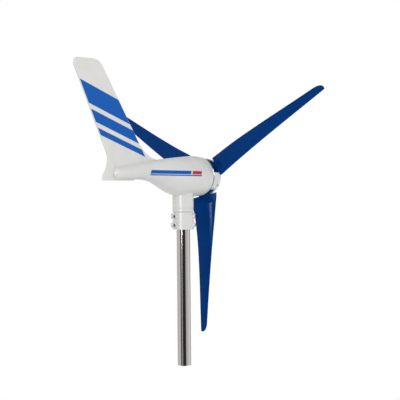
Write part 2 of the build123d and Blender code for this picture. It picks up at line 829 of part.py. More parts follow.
def make_shaft_key():
    width, height, length = key_size
    start = hub_rear + 1.0
    place = Pos(start + length / 2, 0, hub_height + front_size[0] / 2 - 0.5)
    return place * Box(length, width, height)


def blade_tab_frame(angle):
    """Local +X runs out along the blade, local +Z is the world's +X, at the tab's middle."""
    return rotor_place(blade_plane, angle, 0.0)


def make_hub():
    hub = rotor_ring(hub_rear, hub_front, hub_diameter)
    hub = chamfer(hub.edges(), 1.2)
    hub += rotor_ring(front_bearing_end, hub_rear, hub_boss_diameter)
    hub -= rotor_ring(front_bearing_end, hub_web_front, front_size[0])
    hub -= rotor_ring(hub_web_front, hub_front, hub_recess[0])
    for angle in blade_angles:
        reach = hub_diameter / 2 + 2 - tab_start
        pocket = Pos(tab_start + reach / 2, 0, 0)
        width = tab_width + 2 * tab_clearance
        hub -= blade_tab_frame(angle) * pocket * Box(reach, width, tab_thickness)
    for place in blade_screw_frames():
        length = clamp_thickness + tab_thickness + blade_screw_reach
        hub -= place * Pos(0, 0, -length / 2) * Cylinder(blade_screw[0] / 2, length)
    return hub - make_shaft_key()


def blade_screw_frames():
    """Frames on the clamp plate's front at each blade screw, local -Z into the hub."""
    frames = []
    for angle in blade_angles:
        for radius, side in blade_screw_places:
            frames.append(rotor_place(clamp_front, angle, 0.0) * Pos(radius, side, 0))
    return frames


def make_blade_screws():
    size, head_diameter, head_height = blade_screw
    length = clamp_thickness + tab_thickness + blade_screw_reach - 1
    screw = cap_screw(size, head_diameter, head_height, length)
    return [frame * screw for frame in blade_screw_frames()]


def make_clamp_plate():
    outer = spinner_diameter - 2 * spinner_wall - 2 * spinner_seat
    plate = rotor_ring(hub_front, clamp_front, outer, hub_recess[0] + 1)
    for frame in blade_screw_frames():
        plate -= frame * Cylinder(blade_screw[0] / 2 + 0.2, 3 * clamp_thickness)
    for frame in spinner_screw_frames():
        plate -= frame * Cylinder(small_screw[0] / 2, 2 * spinner_screw_length + 4)
    return plate


def spinner_screw_frames():
    """Frames on the spinner's skirt between the blades, local +Z outward."""
    x = hub_front + clamp_thickness / 2
    frames = []
    for angle in blade_angles:
        radius = spinner_diameter / 2
        frames.append(rotor_place(x, angle + 180.0, radius) * Rotation(0, 90, 0))
    return frames


def dome(radius, rear, skirt_end, nose):
    """Solid of the skirt and its elliptical nose."""
    nose_arc = EllipticalCenterArc((skirt_end, 0), nose - skirt_end, radius,
                                   start_angle=1.5, arc_size=88.5)
    profile = [
        Line((rear, 0), (rear, radius)),
        Line((rear, radius), (skirt_end, radius)),
        nose_arc,
        Line(nose_arc @ 0, (nose_arc @ 0).X * Vector(1, 0)),
        Line((nose_arc @ 0).X * Vector(1, 0), (rear, 0)),
    ]
    frame = Plane(origin=(0, 0, hub_height), x_dir=(1, 0, 0), z_dir=(0, -1, 0))
    return revolve(frame * make_face(Wire(profile)), Axis((0, 0, hub_height), (1, 0, 0)))


def spinner_countersink(extra):
    """Cone of a countersunk head whose top is flush with the skirt."""
    depth = 2.2
    small = small_screw[0] / 2 + extra
    return Pos(0, 0, -depth / 2 - 0.3) * Cone(small, small + depth, depth)


def make_spinner():
    radius = spinner_diameter / 2
    skirt_end = hub_front + spinner_skirt
    nose = skirt_end + spinner_dome
    outer = dome(radius, hub_front, skirt_end, nose)
    inner = dome(radius - spinner_wall, hub_front, skirt_end, nose - spinner_wall)
    spinner = outer - inner
    for frame in spinner_screw_frames():
        spinner -= frame * Cylinder(small_screw[0] / 2 + 0.1, 12)
        spinner -= frame * Pos(0, 0, 2) * Cylinder(small_screw[0] / 2 + 2.4, 5)
        spinner -= frame * spinner_countersink(0.1)
    return spinner


def make_spinner_screws():
    shank = Pos(0, 0, -spinner_screw_length / 2 - 0.4) * Cylinder(
        small_screw[0] / 2, spinner_screw_length)
    screw = shank + spinner_countersink(0.0)
    screw -= Pos(0, 0, -0.3) * Cylinder(1.2, 2.0)
    return [frame * screw for frame in spinner_screw_frames()]


def make_shaft_washer():
    return rotor_ring(hub_web_front, hub_web_front + washer[1], washer[0], shaft_thread)


def make_shaft_nut():
    across, height = hub_nut
    frame = Location(rotor_plane(hub_web_front + washer[1]))
    return frame * hex_prism(across, height, shaft_thread)


# ---------------------------------------------------------------- blades

def aerofoil_face(radius, leading, trailing, pitch, thickness):
    """Cambered section across the blade, its rounded side facing away from the wind.

    The half thickness follows the four-digit formula and the mean line is a parabola.
    """
    chord = leading + trailing
    angle = math.radians(pitch)
    plane = Plane(origin=(blade_plane, 0, hub_height + radius),
                  x_dir=(math.sin(angle), math.cos(angle), 0), z_dir=(0, 0, 1))
    steps = 9
    upper = []
    lower = []
    for number in range(steps + 1):
        part = (1 - math.cos(math.pi * number / steps)) / 2
        shape = (0.2969 * math.sqrt(part) - 0.1260 * part - 0.3516 * part ** 2
                 + 0.2843 * part ** 3 - 0.1036 * part ** 4)
        half = 5 * thickness * shape + trailing_edge / 2 * part
        mean = 4 * camber * chord * part * (1 - part)
        along = leading - part * chord
        upper.append((along, mean + half))
        lower.append((along, mean - half))
    outline = list(reversed(upper)) + lower[1:]
    wire = Wire([Spline(*outline), Line(outline[-1], outline[0])])
    return plane * make_face(wire)


def make_blade_root():
    """Flat root plate, cut off at a slant and pitched like the first section."""
    lead = blade_stations[0][1]
    trail = blade_stations[0][2]
    corners = []
    for side, start in ((lead, 0), (lead, root_length), (-trail, root_length), (-trail, 0)):
        corners.append((root_start + start - root_slant * side, side))
    plate = extrude(make_face(Polyline(*corners, close=True)), root_thickness / 2, both=True)
    plate = fillet(plate.edges().filter_by(Axis.X), root_edge_radius)
    return root_frame() * plate


def root_frame():
    """Local +X up the blade, local +Y towards the leading edge along the root's chord."""
    angle = math.radians(blade_stations[0][3])
    normal = (math.cos(angle), -math.sin(angle), 0)
    return Location(Plane(origin=(blade_plane, 0, hub_height), x_dir=(0, 0, 1),
                          z_dir=(-normal[0], -normal[1], 0)))


def make_blade():
    """The blade that points straight up."""
    tip_radius = rotor_diameter / 2
    stretch = (tip_radius - aerofoil_start) / blade_stations[0][0]
    faces = [aerofoil_face(tip_radius - stretch * inward, leading, trailing, pitch, thickness)
             for inward, leading, trailing, pitch, thickness in blade_stations]
    blade = loft(faces)
    blade += make_blade_root()
    tab_length = root_start + 8 - tab_start
    tab_place = Pos(blade_plane, 0, hub_height + tab_start + tab_length / 2)
    blade += tab_place * Box(tab_thickness, tab_width, tab_length)
    for radius, side in blade_screw_places:
        place = Pos(blade_plane, -side, hub_height + radius) * Rotation(0, 90, 0)
        blade -= place * Cylinder(blade_screw[0] / 2 + 0.2, 2 * tab_thickness)
    return blade


def turned_about_rotor(shape, angle):
    centre = Pos(0, 0, hub_height)
    return centre * Rotation(angle, 0, 0) * centre.inverse() * shape


# ---------------------------------------------------------------- all pieces

def make_bearings():
    """Rings and balls of the two yaw bearings and the two main bearings."""
    stand = {
        "yaw_lower": (yaw_lower_size, 13, Pos(0, 0, neck_bottom)),
        "yaw_upper": (yaw_upper_size, 11, Pos(0, 0, yaw_upper_bottom)),
        "rear": (rear_size, 9, Location(rotor_plane(rear_bearing_start))),
        "front": (front_size, 8, Location(rotor_plane(front_bearing_start))),
    }
    pieces = {}
    for name, (size, count, place) in stand.items():
        inner, outer, balls = bearing(size, count)
        pieces[name + "_inner_ring"] = place * inner
        pieces[name + "_outer_ring"] = place * outer
        pieces[name + "_caged_balls"] = place * balls
    return pieces


def make_pieces():
    pieces = {
        "mast_tube": make_mast_tube(),
        "mast_sleeve": make_mast_sleeve(),
        "sleeve_screws": make_sleeve_screws(),
        "yaw_spindle": make_yaw_spindle(),
        "spindle_nut": make_spindle_nut(),
        "yaw_locknut": make_yaw_locknut(),
        "slip_ring_drum": make_slip_ring_drum(),
        "slip_rings": make_slip_rings(),
        "drum_leads": make_drum_leads(),
        "lead_connector": make_lead_connector(),
        "nacelle_housing": make_nacelle_housing(),
        "tail_fin": make_tail_fin(),
        "fin_screws": make_fin_screws(),
        "yaw_ring": make_yaw_ring(),
        "yaw_ring_screws": make_yaw_ring_screws(),
        "yaw_seal": make_yaw_seal(),
        "rear_bearing_plate": make_rear_bearing_plate(),
        "rear_plate_screws": make_rear_plate_screws(),
        "front_cover": make_front_cover(),
        "front_cover_screws": make_front_cover_screws(),
        "cover_seal": make_cover_seal(),
        "shaft_seal": make_shaft_seal(),
        "stator_core": make_stator_core(),
        "stator_coils": make_stator_coils(),
        "stator_leads": make_stator_leads(),
        "brush_holder": make_brush_holder(),
        "holder_screws": make_holder_screws(),
        "brushes": make_brushes(),
        "brush_springs": make_brush_springs(),
        "rotor_shaft": make_rotor_shaft(),
        "rear_circlip": make_rear_circlip(),
        "hub_key": make_shaft_key(),
        "rotor_core": make_rotor_core(),
        "magnets": make_magnets(),
        "hub": make_hub(),
        "clamp_plate": make_clamp_plate(),
        "blade_screws": make_blade_screws(),
        "shaft_washer": make_shaft_washer(),
        "shaft_nut": make_shaft_nut(),
        "spinner": make_spinner(),
        "spinner_screws": make_spinner_screws(),
    }
    pieces.update(make_bearings())
    upright = make_blade()
    for number, angle in enumerate(blade_angles):
        pieces["blade_" + str(number + 1)] = turned_about_rotor(upright, angle - 90.0)
    return pieces


def main():
    os.makedirs("parts", exist_ok=True)
    for name, shape in make_pieces().items():
        if isinstance(shape, list):
            shape = Compound(children=shape)
        export_step(shape, "parts/" + name + ".step")


main()
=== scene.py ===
"""Looks of a small three-blade wind turbine on its mast tube.

Laid out as an add-on: sizes and colours are properties, each group of pieces has an operator,
and main() runs them all in order. Metres; +Z runs up the mast, +X along the rotor axis.
"""
import json
import math

import bpy
import numpy as np
from bpy.props import FloatProperty, IntProperty, PointerProperty, StringProperty
from mathutils import Matrix, Vector


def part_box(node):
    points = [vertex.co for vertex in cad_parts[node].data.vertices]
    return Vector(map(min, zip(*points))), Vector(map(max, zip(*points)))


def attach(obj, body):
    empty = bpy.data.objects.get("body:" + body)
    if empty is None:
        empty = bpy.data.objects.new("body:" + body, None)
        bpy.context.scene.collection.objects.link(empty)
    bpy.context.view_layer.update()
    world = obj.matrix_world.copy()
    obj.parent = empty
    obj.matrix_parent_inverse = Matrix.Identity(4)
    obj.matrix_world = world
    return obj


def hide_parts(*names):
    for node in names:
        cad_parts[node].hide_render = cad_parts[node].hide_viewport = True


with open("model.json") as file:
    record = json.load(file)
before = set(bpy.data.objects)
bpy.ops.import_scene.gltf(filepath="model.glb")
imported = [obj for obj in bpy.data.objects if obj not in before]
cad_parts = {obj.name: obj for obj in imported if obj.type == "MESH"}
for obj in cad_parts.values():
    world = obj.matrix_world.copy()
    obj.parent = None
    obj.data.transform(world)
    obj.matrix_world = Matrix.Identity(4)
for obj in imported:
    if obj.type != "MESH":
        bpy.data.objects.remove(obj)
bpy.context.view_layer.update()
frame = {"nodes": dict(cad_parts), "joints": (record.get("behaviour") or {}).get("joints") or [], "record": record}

JOINTS = {joint["name"]: joint for joint in frame["joints"]}

bl_info = {
    "name": "Wind turbine finish",
    "version": (1, 0, 0),
    "blender": (4, 5, 0),
    "location": "3D View > Sidebar > Turbine",
    "description": "Finishes, films and studio for a small horizontal axis wind turbine",
    "category": "Object",
}


# ---------------------------------------------------------------- sizes and colours

class TurbineColours(bpy.types.PropertyGroup):
    """Colours of the finishes, as sRGB hex."""
    casting: StringProperty(
        name="Powder coat", description="White powder coat of the castings", default="#DADAD8")
    fin_gelcoat: StringProperty(
        name="Fin gelcoat", description="White gelcoat of the tail fin", default="#DBDAD8")
    blade_gelcoat: StringProperty(
        name="Blade gelcoat", description="Blue gelcoat of the blades", default="#00377A")
    dome: StringProperty(
        name="Spinner", description="White moulded ABS of the spinner", default="#DDDDDB")
    film_blue: StringProperty(
        name="Blue film", description="Blue vinyl of the bands", default="#0358AE")
    film_red: StringProperty(
        name="Red film", description="Red vinyl of the short stripe", default="#C22B34")
    stainless: StringProperty(
        name="Stainless", description="Polished stainless steel of the mast", default="#CFCBC6")


class TurbineSizes(bpy.types.PropertyGroup):
    """Sizes of the films."""
    film: FloatProperty(
        name="Film thickness", description="Thickness of the cut vinyl",
        default=0.00015, unit="LENGTH")
    band_slope: FloatProperty(
        name="Band slope", description="Fall of the fin's bands for each metre forward",
        default=0.3)
    band_top: FloatProperty(
        name="Top band level", description="Where the top band meets the trailing edge, "
        "above the rotor axis", default=0.296, unit="LENGTH")
    band_gap: FloatProperty(
        name="Band gap", description="White left between two bands", default=0.015,
        unit="LENGTH")
    band_first: FloatProperty(
        name="Widest band", description="Height of the top band", default=0.060, unit="LENGTH")
    band_ratio: FloatProperty(
        name="Band taper", description="Height of each band over the one above it",
        default=0.56)
    band_count: IntProperty(
        name="Bands", description="Number of bands on each side of the fin", default=3)
    stripe_height: FloatProperty(
        name="Stripe height", description="Height of the nacelle's stripe", default=0.012,
        unit="LENGTH")
    stripe_rise: FloatProperty(
        name="Stripe rise", description="Middle of the stripe above the rotor axis",
        default=0.0095, unit="LENGTH")
    stripe_rear: FloatProperty(
        name="Stripe rear", description="Rear end of the stripe, from the yaw axis",
        default=-0.200, unit="LENGTH")
    stripe_split: FloatProperty(
        name="Stripe split", description="Where blue gives way to red", default=-0.030,
        unit="LENGTH")
    stripe_front: FloatProperty(
        name="Stripe front", description="Front end of the stripe", default=0.020,
        unit="LENGTH")
    pinstripe: FloatProperty(
        name="Pinstripe", description="Height of the thin line under the stripe",
        default=0.004, unit="LENGTH")


def linear(colour):
    """An sRGB hex colour as linear red, green, blue and alpha 1."""
    parts = np.array([int(colour[i:i + 2], 16) for i in (1, 3, 5)]) / 255
    values = np.where(parts <= 0.04045, parts / 12.92, ((parts + 0.055) / 1.055) ** 2.4)
    return (*values.tolist(), 1.0)


# ---------------------------------------------------------------- materials

# A colour mix has sockets of one name for each data type, so its colours go by number
MIX_FIRST, MIX_SECOND, MIX_RESULT = 6, 7, 2


def add_node(tree, kind, links=None, **settings):
    """Add a node; links gives its sockets, by name or number, a value or another's output."""
    made = tree.nodes.new(kind)
    for name, value in settings.items():
        setattr(made, name, value)
    for socket, value in (links or {}).items():
        if isinstance(value, bpy.types.NodeSocket):
            tree.links.new(value, made.inputs[socket])
        else:
            made.inputs[socket].default_value = value
    return made


def new_material(name, colour, **shader):
    """A material with a Principled shader, set on its own sockets."""
    material = bpy.data.materials.new(name)
    material.use_nodes = True
    tree = material.node_tree
    surface = tree.nodes["Principled BSDF"]
    surface.inputs["Base Color"].default_value = linear(colour)
    for socket, value in shader.items():
        surface.inputs[socket.replace("_", " ")].default_value = value
    place = add_node(tree, "ShaderNodeTexCoord").outputs["Object"]
    return material, tree, surface, place


def grain(tree, place, size, stretch=(1, 1, 1), detail=2.0):
    """Noise whose grains are size metres wide, longer along an axis by its stretch."""
    scale = tuple(1 / (size * part) for part in stretch)
    turned = add_node(tree, "ShaderNodeMapping", {"Vector": place, "Scale": scale})
    noise = add_node(tree, "ShaderNodeTexNoise",
                     {"Vector": turned.outputs[0], "Scale": 1.0, "Detail": detail})
    return noise.outputs["Fac"]


def spread(tree, value, low, high):
    """Map the middle of a noise to a range."""
    made = add_node(tree, "ShaderNodeMapRange",
                    {"Value": value, "From Min": 0.3, "From Max": 0.7,
                     "To Min": low, "To Max": high})
    return made.outputs["Result"]


def tint(tree, surface, colour, other, value):
    """Base colour between two hex colours, by a noise."""
    mixed = add_node(tree, "ShaderNodeMix", {"Factor": spread(tree, value, 0.0, 1.0)},
                     data_type="RGBA")
    mixed.inputs[MIX_FIRST].default_value = linear(colour)
    mixed.inputs[MIX_SECOND].default_value = linear(other)
    tree.links.new(mixed.outputs[MIX_RESULT], surface.inputs["Base Color"])


def raise_surface(tree, surface, value, height, strength=1.0, under=None):
    """Bump of that height in metres."""
    links = {"Height": value, "Distance": height, "Strength": strength}
    if under is not None:
        links["Normal"] = under
    bump = add_node(tree, "ShaderNodeBump", links)
    tree.links.new(bump.outputs["Normal"], surface.inputs["Normal"])
    return bump.outputs["Normal"]


def powder_coat(name, colour):
    """Powder coat on cast aluminium: satin, with a faint orange peel a few millimetres wide."""
    material, tree, surface, place = new_material(
        name, colour, Roughness=0.36, IOR=1.5, Coat_Weight=0.12, Coat_Roughness=0.25)
    tint(tree, surface, colour, "#D3D3D0", grain(tree, place, 0.045))
    raise_surface(tree, surface, grain(tree, place, 0.003), 0.00006)
    return material


def gelcoat(name, colour, other, roughness, coat, shine):
    """Gelcoat on a moulded laminate: smooth and glossy, with the mould's long slow waves."""
    material, tree, surface, place = new_material(
        name, colour, Roughness=roughness, IOR=1.5, Specular_IOR_Level=shine,
        Coat_Weight=coat, Coat_Roughness=0.06)
    tint(tree, surface, colour, other, grain(tree, place, 0.06))
    slow = raise_surface(tree, surface, grain(tree, place, 0.08), 0.0002, 0.5)
    raise_surface(tree, surface, grain(tree, place, 0.0025), 0.00002, 0.4, slow)
    return material


def moulded_plastic(name, colour, roughness):
    """Injection-moulded plastic: a fine spark texture, drawn a millimetre wide to show."""
    material, tree, surface, place = new_material(name, colour, Roughness=roughness, IOR=1.53)
    raise_surface(tree, surface, grain(tree, place, 0.001), 0.00003)
    return material


def worked_metal(name, colour, roughness, size, stretch, depth):
    """Bare metal with the marks of how it was cut or drawn, longer along one axis."""
    material, tree, surface, place = new_material(
        name, colour, Roughness=roughness, Metallic=1.0)
    marks = grain(tree, place, size, stretch)
    tree.links.new(spread(tree, marks, roughness * 0.75, roughness * 1.3),
                   surface.inputs["Roughness"])
    raise_surface(tree, surface, marks, depth)
    return material


def wound_copper(name, colour):
    """Enamelled copper wire: glossy amber, its turns about a millimetre apart."""
    material, tree, surface, place = new_material(
        name, colour, Roughness=0.3, Metallic=0.85, Coat_Weight=0.5)
    turns = add_node(tree, "ShaderNodeTexWave",
                     {"Vector": place, "Scale": 1 / 0.0064, "Distortion": 0.4},
                     bands_direction="X")
    raise_surface(tree, surface, turns.outputs["Fac"], 0.0004)
    return material


def vinyl(name, colour):
    """Cut vinyl film: even colour, a soft gloss and a faint texture."""
    material, tree, surface, place = new_material(
        name, colour, Roughness=0.32, IOR=1.45, Specular_IOR_Level=0.2)
    raise_surface(tree, surface, grain(tree, place, 0.002), 0.00002)
    return material


def make_finishes(colours):
    """Every finish of the turbine, by name."""
    along_mast = (1, 1, 60)
    along_rotor = (30, 1, 1)
    even = (1, 1, 1)
    return {
        "mast": worked_metal("polished stainless steel", colours.stainless, 0.11, 0.0012,
                             along_mast, 0.000006),
        "casting": powder_coat("powder coated aluminium", colours.casting),
        "fin": gelcoat("white gelcoat laminate", colours.fin_gelcoat, "#D5D4D1", 0.3, 0.1, 0.5),
        "blade": gelcoat("blue gelcoat laminate", colours.blade_gelcoat, "#003270", 0.16, 0.0,
                         0.045),
        "dome": moulded_plastic("white ABS", colours.dome, 0.25),
        "aluminium": worked_metal("polished aluminium", "#D6D6D6", 0.12, 0.0012, even,
                                  0.000006),
        "screw": worked_metal("stainless screw steel", "#8A8987", 0.33, 0.0008, even, 0.00002),
        "shaft": worked_metal("ground shaft steel", "#A9A8A6", 0.22, 0.0008, along_rotor,
                              0.00001),
        "bearing": worked_metal("polished bearing steel", "#B4B4B6", 0.12, 0.001, even,
                                0.000005),
        "core": worked_metal("laminated core steel", "#5B5C60", 0.45, 0.0007, even, 0.00005),
        "magnet": worked_metal("nickel plated magnet", "#A8A6A0", 0.24, 0.0015, even, 0.00001),
        "brass": worked_metal("ring brass", "#B9964E", 0.25, 0.001, even, 0.00001),
        "winding": wound_copper("enamelled copper", "#A8592B"),
        "plastic": moulded_plastic("black polyamide", "#1C1D1F", 0.5),
        "carbon": moulded_plastic("brush carbon", "#2B2A2A", 0.6),
        "lead": moulded_plastic("lead insulation", "#22252B", 0.4),
        "rubber": moulded_plastic("nitrile rubber", "#17181A", 0.7),
        "film_blue": vinyl("blue vinyl film", colours.film_blue),
        "film_red": vinyl("red vinyl film", colours.film_red),
    }


SLOT_FINISH = {
    "polished_stainless": "mast", "white_casting": "casting", "white_laminate": "fin",
    "blue_laminate": "blade", "machined_aluminium": "aluminium", "white_dome": "dome",
    "screw_steel": "screw", "shaft_steel": "shaft", "bearing_steel": "bearing",
    "core_steel": "core", "copper_winding": "winding", "magnet_nickel": "magnet",
    "ring_brass": "brass", "black_plastic": "plastic", "brush_carbon": "carbon",
    "lead_insulation": "lead", "seal_rubber": "rubber",
}
FINISHES = {}


def finish_nodes(body):
    """Give each CAD node of a body the finish of its slot."""
    for node in frame["record"]["behaviour"]["bodies"][body]:
        piece = frame["nodes"][node]
        for place, old in enumerate(piece.data.materials):
            slot = old.name.split(".")[0]
            piece.data.materials[place] = FINISHES[SLOT_FINISH[slot]]


# ---------------------------------------------------------------- surfaces

def grid_faces(rows, columns):
    """Corner numbers of the quads of a grid of points."""
    first = np.arange(rows - 1)[:, None] * columns + np.arange(columns - 1)[None, :]
    first = first.ravel()
    return np.stack([first, first + 1, first + columns + 1, first + columns], axis=1)


def new_piece(name, points, faces, finish):
    """A mesh object at the origin from an array of points and one of quads."""
    mesh = bpy.data.meshes.new(name)
    mesh.from_pydata(points.reshape(-1, 3).tolist(), [], [list(face) for face in faces])
    mesh.materials.append(FINISHES[finish])
    mesh.update()
    piece = bpy.data.objects.new(name, mesh)
    bpy.context.scene.collection.objects.link(piece)
    return piece


def thicken(piece, thickness):
    """Give a film its thickness, outwards."""
    wall = piece.modifiers.new("film", "SOLIDIFY")
    wall.thickness = thickness
    wall.offset = 1.0


# Straight edges of the fin, x and height over the rotor axis, from the top of each to its foot
TRAILING_EDGE = ((-0.508, 0.330), (-0.386, 0.088))
LEADING_EDGE = ((-0.388, 0.340), (-0.243, 0.130))
EDGE_MARGIN = 0.0022


def edge_crossing(edge, level, slope):
    """x where a line that starts at level on x = 0 and falls by slope meets an edge."""
    (x0, z0), (x1, z1) = edge
    rise = (z1 - z0) / (x1 - x0)
    return (level - z0 + rise * x0) / (rise + slope)


def fin_band(level, height, sizes):
    """Points of one band on the plane y = 0, over the rotor axis.

    A point is (x, level line at x): rows step up from the band's bottom line to its top one,
    and along each row x runs from the trailing edge to the leading edge, both drawn in by a
    margin.
    """
    rows, columns = 9, 33
    drop = np.linspace(height, 0.0, rows)[:, None]
    base = level - drop + sizes.band_slope * TRAILING_EDGE[0][0]
    start = edge_crossing(TRAILING_EDGE, base, sizes.band_slope) + EDGE_MARGIN
    end = edge_crossing(LEADING_EDGE, base, sizes.band_slope) - EDGE_MARGIN
    along = np.linspace(0.0, 1.0, columns)[None, :]
    x = start + (end - start) * along
    z = base - sizes.band_slope * x
    return np.stack([x, np.zeros_like(x), z], axis=-1)


def stripe_outline(rear, front, middle, height, lean):
    """Points of a leaning bar on the plane y = 0: x is shifted by lean times the height."""
    rows, columns = 9, 65
    z = np.linspace(-height / 2, height / 2, rows)[:, None] + np.zeros((1, columns))
    x = np.linspace(rear, front, columns)[None, :] + lean * z
    return np.stack([x, np.zeros_like(x), z + middle], axis=-1)


def settle_on(piece, node, side):
    """Press a flat film along y onto a CAD node's side and keep the result."""
    press = piece.modifiers.new("press", "SHRINKWRAP")
    press.target = frame["nodes"][node]
    press.wrap_method = "PROJECT"
    press.use_project_y = True
    press.use_positive_direction = side < 0
    press.use_negative_direction = side > 0
    bpy.context.view_layer.update()
    ready = piece.evaluated_get(bpy.context.evaluated_depsgraph_get())
    pressed = bpy.data.meshes.new_from_object(ready)
    piece.modifiers.clear()
    piece.data = pressed


# White between the stripe's two colours, lean of its ends, and y of its flat film before pressing
STRIPE_GAP = 0.006
STRIPE_LEAN = 0.35
STRIPE_START = 0.2


def smooth(piece):
    """Smooth shading over the whole piece."""
    piece.data.polygons.foreach_set("use_smooth", [True] * len(piece.data.polygons))


# Blade: radius from the rotor axis, leading and trailing offsets, pitch in degrees, thickness
BLADE_STATIONS = np.array([
    (0.0840, 0.0483, 0.0466, 22.0, 0.0095), (0.1200, 0.0455, 0.0412, 17.6, 0.0106),
    (0.1700, 0.0414, 0.0350, 12.9, 0.0100), (0.2200, 0.0371, 0.0307, 9.0, 0.0088),
    (0.2750, 0.0323, 0.0272, 6.2, 0.0076), (0.3350, 0.0270, 0.0247, 4.4, 0.0065),
    (0.4000, 0.0212, 0.0226, 3.2, 0.0055), (0.4650, 0.0156, 0.0210, 2.6, 0.0047),
    (0.5250, 0.0107, 0.0196, 2.3, 0.0040), (0.5450, 0.0089, 0.0191, 2.2, 0.0038),
    (0.5600, 0.0053, 0.0187, 2.2, 0.0035), (0.5690, 0.0000, 0.0183, 2.2, 0.0032),
    (0.5735, -0.0055, 0.0180, 2.2, 0.0028), (0.5750, -0.0095, 0.0178, 2.2, 0.0024),
])
BLADE_CAMBER = 0.03
BLADE_EDGE = 0.0009
ROOT_START = 0.070
ROOT_SLANT = 0.242
ROOT_HALF = 0.0035
ROOT_FOLD = (0.084, 0.104)
SLANT_END = 0.180
BLADE_PLANE = 0.120
SHARP_ANGLE = 50.0
# The tab's foot and top over the axis, half width and half depth, corner radius, loop points
TAB = (0.024, 0.080, 0.022, 0.004)
TAB_CORNER = 0.001
TAB_POINTS = 32


def curve_through(x, places, values):
    """Cubic Hermite curve through the values, its slopes from their neighbours."""
    slopes = np.gradient(values, places)
    part = np.clip(np.searchsorted(places, x, side="right") - 1, 0, len(places) - 2)
    step = places[part + 1] - places[part]
    t = (x - places[part]) / step
    return ((2 * t ** 3 - 3 * t ** 2 + 1) * values[part]
            + (t ** 3 - 2 * t ** 2 + t) * step * slopes[part]
            + (3 * t ** 2 - 2 * t ** 3) * values[part + 1]
            + (t ** 3 - t ** 2) * step * slopes[part + 1])


def ease(x, low, high):
    """0 below low, 1 above high, with a smooth turn between."""
    t = np.clip((x - low) / (high - low), 0.0, 1.0)
    return t * t * (3 - 2 * t)


def blade_surface():
    """Skin of a blade that points up, as rows of loops from the root to the tip.

    Round each loop the chord share runs from the trailing edge to the leading edge and back. The
    half thickness is the four-digit aerofoil formula, turned at the root into a flat plate with
    round edges, and the mean line is a parabola. The loops lean at the root by the slant of its
    end, and are level from SLANT_END on.
    """
    rows, columns = 120, 56
    near = np.linspace(ROOT_START, SLANT_END, rows // 2, endpoint=False)
    reach = BLADE_STATIONS[-1, 0] - SLANT_END
    far = SLANT_END + reach * np.sin(np.linspace(0, np.pi / 2, rows // 2))
    level = np.concatenate([near, far])
    clipped = np.maximum(level, BLADE_STATIONS[0, 0])
    lead, trail, pitch, thick = (
        curve_through(clipped, BLADE_STATIONS[:, 0], BLADE_STATIONS[:, k])[:, None]
        for k in (1, 2, 3, 4))
    turn = np.linspace(0, 2 * np.pi, columns, endpoint=False)[None, :] + np.pi / columns
    share = (1 - np.cos(turn)) / 2
    side = np.where(turn < np.pi, 1.0, -1.0)
    part = 1 - share
    shape = 5 * (0.2969 * np.sqrt(part) - 0.1260 * part - 0.3516 * part ** 2
                 + 0.2843 * part ** 3 - 0.1036 * part ** 4)
    chord = lead + trail
    aerofoil = thick * shape + BLADE_EDGE / 2 * part
    from_end = np.minimum(part, share) * chord
    inside = np.clip(ROOT_HALF - from_end, 0.0, ROOT_HALF)
    plate = np.sqrt(ROOT_HALF ** 2 - inside ** 2)
    fold = ease(level, *ROOT_FOLD)[:, None]
    half = plate * (1 - fold) + aerofoil * fold
    mean = 4 * BLADE_CAMBER * chord * part * (1 - part) * fold
    along = lead - part * chord
    out = mean + side * half
    angle = np.radians(pitch)
    slant = ROOT_SLANT * (1 - ease(level, ROOT_START, SLANT_END))[:, None]
    x = BLADE_PLANE + np.sin(angle) * along - np.cos(angle) * out
    y = np.cos(angle) * along + np.sin(angle) * out
    z = level[:, None] - slant * along
    return np.stack([x, y, z], axis=-1)


def tab_surface():
    """The flat tab at the blade's foot: a rounded box section carried straight out."""
    start, end, half_width, half_depth = TAB
    turn = np.linspace(0, 2 * np.pi, TAB_POINTS, endpoint=False) + np.pi / TAB_POINTS
    x = np.sign(np.cos(turn)) * (half_depth - TAB_CORNER) + TAB_CORNER * np.cos(turn)
    y = np.sign(np.sin(turn)) * (half_width - TAB_CORNER) + TAB_CORNER * np.sin(turn)
    level = np.array([start, end])[:, None]
    flat = np.stack([BLADE_PLANE + x, y], axis=-1)[None]
    rows = np.broadcast_to(flat, (2, TAB_POINTS, 2))
    heights = np.broadcast_to(level[..., None], (2, TAB_POINTS, 1))
    return np.concatenate([rows, heights], axis=-1)


def tube_faces(rows, columns, first=0):
    """Quads between closed loops, and a face over each end."""
    here = np.arange(columns)
    base = first + np.arange(rows - 1)[:, None] * columns
    near = (base + here).ravel()
    next_one = (base + np.roll(here, -1)).ravel()
    quads = np.stack([near, next_one, next_one + columns, near + columns], axis=1).tolist()
    last = first + (rows - 1) * columns
    return quads + [(first + here[::-1]).tolist(), (last + here).tolist()]


def turn_about_rotor(points, angle, axis_height):
    """Turn points that stand over the rotor axis by an angle about it, and lift them to it."""
    c, s = math.cos(angle), math.sin(angle)
    y = c * points[..., 1] - s * points[..., 2]
    z = s * points[..., 1] + c * points[..., 2] + axis_height
    return np.stack([points[..., 0], y, z], axis=-1)


# ---------------------------------------------------------------- operators

class TURBINE_OT_mast(bpy.types.Operator):
    """Finish the mast, the sleeve and what stands still inside the neck"""
    bl_idname = "turbine.mast"
    bl_label = "Mast"

    def execute(self, context):
        finish_nodes("mast")
        return {"FINISHED"}


class TURBINE_OT_nacelle(bpy.types.Operator):
    """Finish the nacelle, the tail fin and the generator's still half"""
    bl_idname = "turbine.nacelle"
    bl_label = "Nacelle"

    def execute(self, context):
        finish_nodes("nacelle")
        return {"FINISHED"}


class TURBINE_OT_rotor(bpy.types.Operator):
    """Finish the hub, the blades, the spinner and the generator's turning half"""
    bl_idname = "turbine.rotor"
    bl_label = "Rotor"

    def execute(self, context):
        finish_nodes("rotor")
        return {"FINISHED"}


